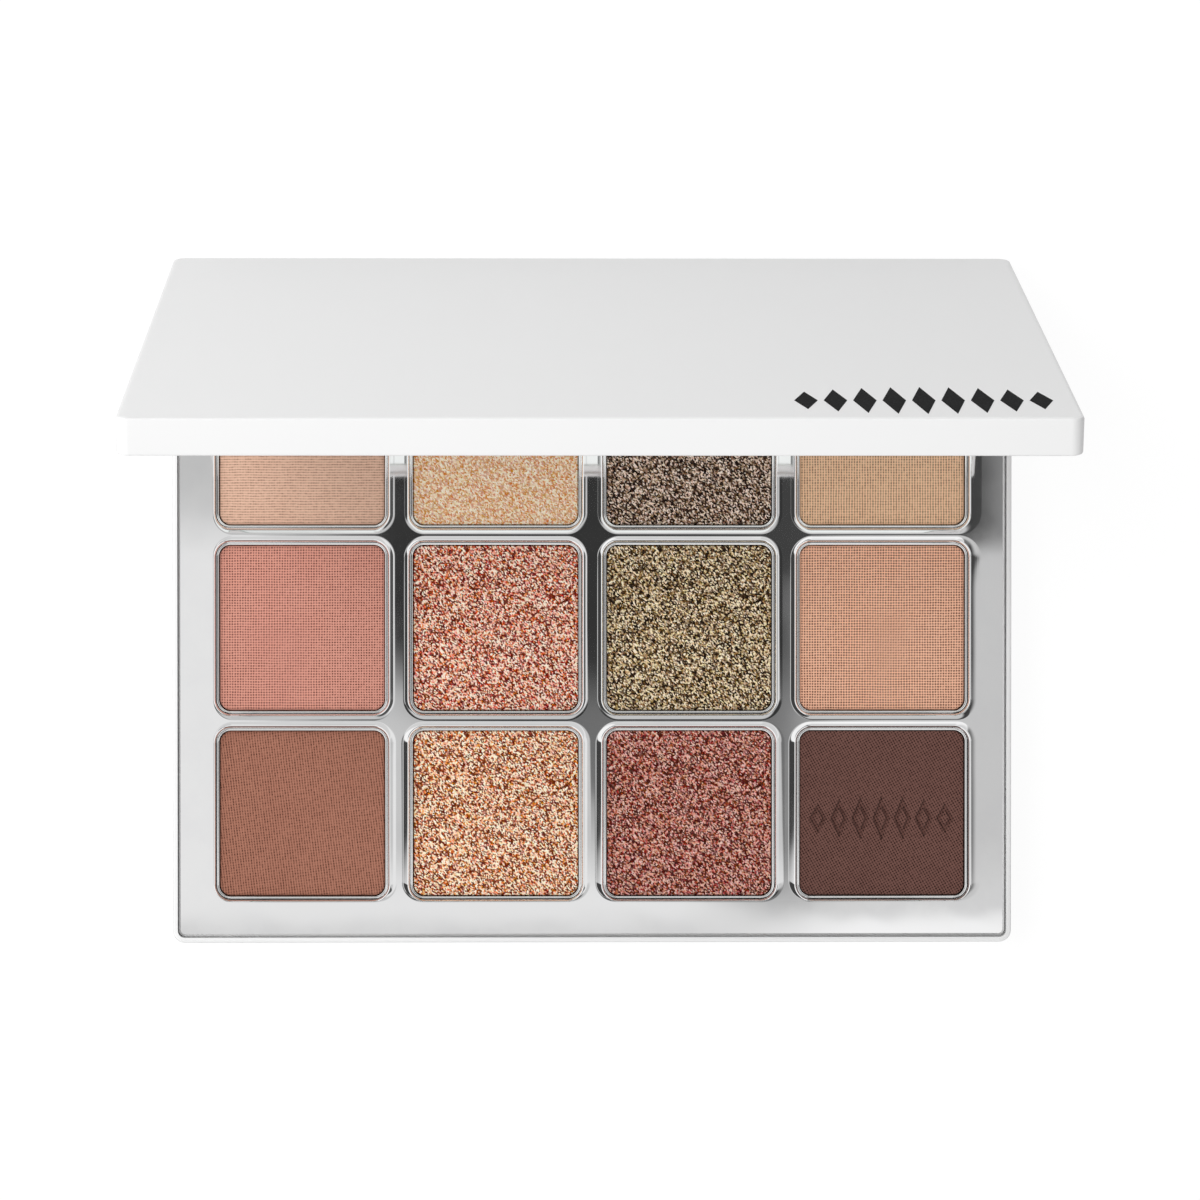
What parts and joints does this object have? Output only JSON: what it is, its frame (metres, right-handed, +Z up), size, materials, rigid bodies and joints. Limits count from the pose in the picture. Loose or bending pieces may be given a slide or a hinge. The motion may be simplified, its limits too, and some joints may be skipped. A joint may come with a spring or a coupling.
{
  "type": "eyeshadow palette",
  "caption": "Slim square-cornered makeup palette with a hinged mirrored lid and a grid of square pressed-powder pans in a metallised tray.",
  "frame": {"origin": "centre of the underside of the closed case, on the face it rests on", "axes": "+X to the user's right along the hinge, +Y from the front edge to the hinge edge, +Z up out of the pans"},
  "size_m": [0.11, 0.0899, 0.0842],
  "materials": {
    "white_plastic": "gloss",
    "silver_tray": "vacuum-metallised plastic, polished",
    "tin": "satin tinplate",
    "steel": "drawn wire",
    "magnet": "nickel-plated magnet",
    "mirror": "silvered glass",
    "adhesive": "pressure-sensitive adhesive sheet",
    "label": "plain printed sticker",
    "terracotta": "pressed powder, matte",
    "copper_gold": "pressed powder, shimmer",
    "burgundy_shimmer": "pressed powder, shimmer",
    "espresso": "pressed powder, matte",
    "dusty_rose": "pressed powder, matte",
    "rose_gold": "pressed powder, shimmer",
    "olive_gold": "pressed powder, shimmer",
    "warm_sand": "pressed powder, matte",
    "soft_peach": "pressed powder, matte",
    "champagne": "pressed powder, shimmer",
    "smoky_bronze": "pressed powder, shimmer",
    "vanilla": "pressed powder, matte"
  },
  "bodies": {
    "base": {"base_shell": "white_plastic", "pan_tray": "silver_tray", "hinge_pin_left": "steel", "hinge_pin_right": "steel", "base_magnet_left": "magnet", "base_magnet_right": "magnet", "bottom_label": "label", "pan_pad_front_1": "adhesive", "pan_front_1": "tin", "powder_front_1": "terracotta", "pan_pad_front_2": "adhesive", "pan_front_2": "tin", "powder_front_2": "copper_gold", "pan_pad_front_3": "adhesive", "pan_front_3": "tin", "powder_front_3": "burgundy_shimmer", "pan_pad_front_4": "adhesive", "pan_front_4": "tin", "powder_front_4": "espresso", "pan_pad_middle_1": "adhesive", "pan_middle_1": "tin", "powder_middle_1": "dusty_rose", "pan_pad_middle_2": "adhesive", "pan_middle_2": "tin", "powder_middle_2": "rose_gold", "pan_pad_middle_3": "adhesive", "pan_middle_3": "tin", "powder_middle_3": "olive_gold", "pan_pad_middle_4": "adhesive", "pan_middle_4": "tin", "powder_middle_4": "warm_sand", "pan_pad_back_1": "adhesive", "pan_back_1": "tin", "powder_back_1": "soft_peach", "pan_pad_back_2": "adhesive", "pan_back_2": "tin", "powder_back_2": "champagne", "pan_pad_back_3": "adhesive", "pan_back_3": "tin", "powder_back_3": "smoky_bronze", "pan_pad_back_4": "adhesive", "pan_back_4": "tin", "powder_back_4": "vanilla"},
    "lid": {"lid_shell": "white_plastic", "mirror_frame": "white_plastic", "mirror": "mirror", "mirror_tape": "adhesive", "lid_magnet_left": "magnet", "lid_magnet_right": "magnet"}
  },
  "joints": [
    {"name": "lid_hinge", "type": "hinge", "parent": "base", "child": "lid", "pos_m": [0, 0.03955, 0.00425], "axis": [-1, 0, 0], "range_deg": [-73.5, 31.5]}
  ]
}
